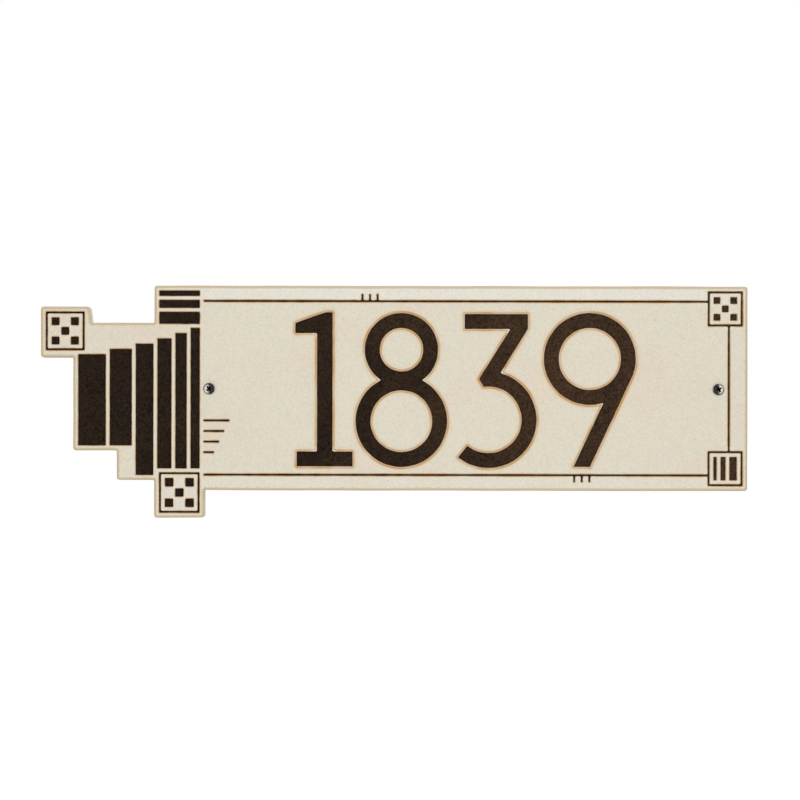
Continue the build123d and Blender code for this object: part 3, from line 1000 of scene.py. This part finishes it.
def iron_brown_glaze():
    """Dry iron glaze, brushed into the recesses: nearly black, mottled in browner clouds.

    A painted sheen makes it lighter and browner from the left end towards the middle and right.
    """
    material, tree, shader, place = new_material("iron_brown_glaze")
    cloud, fleck = (
        node(tree, "ShaderNodeTexNoise", {"Vector": place, "Scale": per_size(size), "Detail": 2.0})
        for size in (IRON_CLOUD, IRON_FLECK)
    )
    # Painted sheen: lighter and browner from the left end towards the middle and right
    across = node(tree, "ShaderNodeSeparateXYZ", {0: place}).outputs["X"]
    least, most = SHEEN_SHARES
    painted_sheen = node(
        tree,
        "ShaderNodeMapRange",
        {0: across, 1: SHEEN_START * MM, 2: SHEEN_END * MM, 3: least, 4: most},
    )
    lean = node(
        tree,
        "ShaderNodeMapRange",
        {0: cloud.outputs[0], 1: NOISE_LOW, 2: NOISE_HIGH, 3: -BROWN_CLOUD, 4: BROWN_CLOUD},
    )
    brown_and_sheen = node(tree, "ShaderNodeMath", {0: lean.outputs[0], 1: painted_sheen.outputs[0]}, use_clamp=True)
    ground = node(
        tree,
        "ShaderNodeMix",
        {0: brown_and_sheen.outputs[0], 6: colour("#261A0F"), 7: colour("#432E1B")},
        data_type="RGBA",
    )
    dark, light = FLECK_TONES
    shade = node(
        tree,
        "ShaderNodeMapRange",
        {0: fleck.outputs[0], 1: NOISE_LOW, 2: NOISE_HIGH, 3: dark, 4: light},
    )
    mottled = node(
        tree,
        "ShaderNodeMix",
        {0: 1.0, 6: ground.outputs[2], 7: shade.outputs[0]},
        data_type="RGBA",
        blend_type="MULTIPLY",
    )
    least, most = IRON_ROUGHNESS
    gloss = node(
        tree,
        "ShaderNodeMapRange",
        {0: fleck.outputs[0], 1: NOISE_LOW, 2: NOISE_HIGH, 3: least, 4: most},
    )
    bump = node(
        tree,
        "ShaderNodeBump",
        {"Strength": 0.4, "Distance": IRON_RELIEF * MM, "Height": fleck.outputs[0]},
    )
    shader.inputs["Specular IOR Level"].default_value = IRON_SPECULAR
    tree.links.new(mottled.outputs[2], shader.inputs["Base Color"])
    tree.links.new(gloss.outputs[0], shader.inputs["Roughness"])
    tree.links.new(bump.outputs[0], shader.inputs["Normal"])
    return material


def bare_stoneware():
    """Unglazed buff stoneware, wiped clean before firing: dry, sandy, with iron specks."""
    material, tree, shader, place = new_material("bare_stoneware")
    cloud, grit = (
        node(tree, "ShaderNodeTexNoise", {"Vector": place, "Scale": per_size(size), "Detail": detail})
        for size, detail in ((CLAY_CLOUD, 3.0), (CLAY_GRIT, 2.0))
    )
    ground = node(
        tree,
        "ShaderNodeMix",
        {0: cloud.outputs[0], 6: colour("#C4A982"), 7: colour("#D6C1A0")},
        data_type="RGBA",
    )
    dark, light = GRIT_TONES
    shade = node(
        tree,
        "ShaderNodeMapRange",
        {0: grit.outputs[0], 1: NOISE_LOW, 2: NOISE_HIGH, 3: dark, 4: light},
    )
    sandy = node(
        tree,
        "ShaderNodeMix",
        {0: 1.0, 6: ground.outputs[2], 7: shade.outputs[0]},
        data_type="RGBA",
        blend_type="MULTIPLY",
    )
    specks = node(tree, "ShaderNodeTexVoronoi", {"Vector": place, "Scale": per_size(CLAY_SPECK)})
    dots = node(
        tree,
        "ShaderNodeMapRange",
        {0: specks.outputs["Distance"], 1: 0.06, 2: 0.12, 3: CLAY_SPECK_SHOW, 4: 0.0},
    )
    specked = node(
        tree,
        "ShaderNodeMix",
        {0: dots.outputs[0], 6: sandy.outputs[2], 7: colour("#7A5A3C")},
        data_type="RGBA",
    )
    bump = node(
        tree,
        "ShaderNodeBump",
        {"Strength": 0.5, "Distance": CLAY_RELIEF * MM, "Height": grit.outputs[0]},
    )
    shader.inputs["Roughness"].default_value = CLAY_ROUGHNESS
    tree.links.new(specked.outputs[2], shader.inputs["Base Color"])
    tree.links.new(bump.outputs[0], shader.inputs["Normal"])
    return material


def blackened_steel():
    """Pressed steel with a black plated finish: dark, with bright soft glints and fine handling marks."""
    material, tree, shader, place = new_material("blackened_steel")
    wear = node(
        tree,
        "ShaderNodeTexNoise",
        {"Vector": place, "Scale": per_size(STEEL_WEAR), "Detail": 3.0},
    )
    tone = node(
        tree,
        "ShaderNodeMix",
        {0: wear.outputs[0], 6: colour("#8C8683"), 7: colour("#ACA6A3")},
        data_type="RGBA",
    )
    # Painted shade: faces in the cross recess are coloured near black
    painted_recess_shade = node(tree, "ShaderNodeAttribute", attribute_name="painted_recess_shade").outputs["Fac"]
    shaded = node(
        tree,
        "ShaderNodeMix",
        {0: painted_recess_shade, 6: tone.outputs[2], 7: colour("#141314")},
        data_type="RGBA",
    )
    least, most = STEEL_ROUGHNESS
    gloss = node(
        tree,
        "ShaderNodeMapRange",
        {0: wear.outputs[0], 1: NOISE_LOW, 2: NOISE_HIGH, 3: least, 4: most},
    )
    shader.inputs["Metallic"].default_value = 1.0
    tree.links.new(shaded.outputs[2], shader.inputs["Base Color"])
    tree.links.new(gloss.outputs[0], shader.inputs["Roughness"])
    return material


# Studio

def white_floor():
    """Pale floor under the plaque, bright to the camera and shaded only by the plaque."""
    mesh = bpy.data.meshes.new("floor")
    disc = bmesh.new()
    bmesh.ops.create_circle(disc, cap_ends=True, segments=FLOOR_SEGMENTS, radius=FLOOR_RADIUS * MM)
    disc.to_mesh(mesh)
    disc.free()
    floor = bpy.data.objects.new("floor", mesh)
    floor.location = (0, 0, FLOOR_LEVEL * MM)
    bpy.context.scene.collection.objects.link(floor)
    material = bpy.data.materials.new("white_floor")
    material.use_nodes = True
    tree = material.node_tree
    tree.nodes.clear()
    place = node(tree, "ShaderNodeTexCoord").outputs["Object"]
    matt = node(tree, "ShaderNodeBsdfDiffuse", {"Color": colour("#E6E6E6")})
    path = node(tree, "ShaderNodeLightPath").outputs
    seen = node(tree, "ShaderNodeMath", {0: path["Is Camera Ray"], 1: FLOOR_GLOW}, operation="MULTIPLY")
    glow = node(tree, "ShaderNodeEmission", {"Strength": seen.outputs[0]})
    near = node(tree, "ShaderNodeAddShader", {0: matt.outputs[0], 1: glow.outputs[0]})
    far = node(tree, "ShaderNodeEmission", {"Strength": path["Is Camera Ray"]})
    out = node(tree, "ShaderNodeVectorMath", {0: place}, operation="LENGTH")
    start, end = FLOOR_FADE
    fade = node(tree, "ShaderNodeMapRange", {0: out.outputs["Value"], 1: start * MM, 2: end * MM})
    mixed = node(
        tree,
        "ShaderNodeMixShader",
        {0: fade.outputs[0], 1: near.outputs[0], 2: far.outputs[0]},
    )
    node(tree, "ShaderNodeOutputMaterial", {"Surface": mixed.outputs[0]})
    mesh.materials.append(material)
    floor.visible_glossy = False


def white_room():
    """World: white to the camera, a plain fill on matt surfaces, dim in front where glosses look."""
    world = bpy.data.worlds.new("white_room")
    bpy.context.scene.world = world
    world.use_nodes = True
    tree = world.node_tree
    tree.nodes.clear()
    path = node(tree, "ShaderNodeLightPath").outputs
    direction = node(tree, "ShaderNodeTexCoord").outputs["Generated"]
    back = node(tree, "ShaderNodeSeparateXYZ", {0: direction}).outputs["Y"]
    gleam = node(tree, "ShaderNodeMapRange", {0: back, 2: BACK_TURN, 3: FRONT_GLEAM, 4: BACK_GLEAM})
    matt = node(tree, "ShaderNodeMix", {0: path["Is Glossy Ray"], 2: FILL, 3: gleam.outputs[0]})
    clear = node(
        tree,
        "ShaderNodeMath",
        {0: path["Is Camera Ray"], 1: path["Is Transmission Ray"]},
        operation="MAXIMUM",
    )
    strength = node(tree, "ShaderNodeMix", {0: clear.outputs[0], 2: matt.outputs[0], 3: 1.0})
    sky = node(
        tree,
        "ShaderNodeBackground",
        {"Color": colour("#FFFFFF"), "Strength": strength.outputs[0]},
    )
    node(tree, "ShaderNodeOutputWorld", {"Surface": sky.outputs[0]})


def soft_lamp(name, place, aim, size, watts):
    """Soft box aimed at a place, in no picture itself."""
    light = bpy.data.lights.new(name, "AREA")
    light.shape = "RECTANGLE"
    light.size, light.size_y = (side * MM for side in size)
    light.energy = watts
    lamp = bpy.data.objects.new(name, light)
    lamp.location = Vector(place) * MM
    lamp.rotation_euler = (Vector(aim) - Vector(place)).to_track_quat("-Z", "Y").to_euler()
    lamp.visible_camera = False
    bpy.context.scene.collection.objects.link(lamp)
    return lamp


def studio(screws):
    """Lamps, room, floor and the camera at the photograph's angle."""
    scene = bpy.context.scene
    scene.view_settings.view_transform = "Standard"
    white_room()
    white_floor()
    for index, place in enumerate(LAMP_PLACES):
        lamp = soft_lamp(f"front_lamp_{index + 1}", place, AIM, LAMP_SIZE, LAMP_WATTS)
        lamp.visible_glossy = False
    gleaming = bpy.data.collections.new("gleaming")
    gleaming.objects.link(screws)
    for index, offset in enumerate(GLEAM_OFFSETS):
        place = Vector((math.copysign(SCREW_SPACING / 2, offset[0]), FRONT, 0)) + Vector(offset)
        aim = (place.x, FRONT, place.z)
        gleam = soft_lamp(f"screw_gleam_{index + 1}", place, aim, GLEAM_SIZE, GLEAM_WATTS)
        gleam.light_linking.receiver_collection = gleaming
    soft_lamp("back_lamp", BACK_LAMP_PLACE, AIM, LAMP_SIZE, BACK_LAMP_WATTS)
    lens = bpy.data.cameras.new("camera")
    lens.sensor_width = CAMERA_SENSOR
    lens.lens = CAMERA_LENS
    camera = bpy.data.objects.new("camera", lens)
    camera.location = Vector(CAMERA_PLACE) * MM
    camera.rotation_euler = (math.pi / 2, CAMERA_ROLL, 0)
    scene.collection.objects.link(camera)
    scene.camera = camera


def main():
    """Makes every piece, parents it to the root, hides the frame's part that it stands for, and sets up the
    studio.
    """
    rim, bores, numerals, ornament = read_outlines()
    dark = iron_brown_glaze()
    screws = screws_piece()
    for piece, stands_for, finish in (
        (slab_piece(rim, bores, numerals, ornament), "plaque", "cream_glaze"),
        (dark_piece("dark_numerals", numerals, dark), "numeral_glaze", "dark_glaze"),
        (dark_piece("dark_ornament", ornament, dark), "ornament_glaze", "dark_glaze"),
        (screws, "mounting_screws", "screw_steel"),
    ):
        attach(piece, "root")
        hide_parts(stands_for)
    studio(screws)


main()
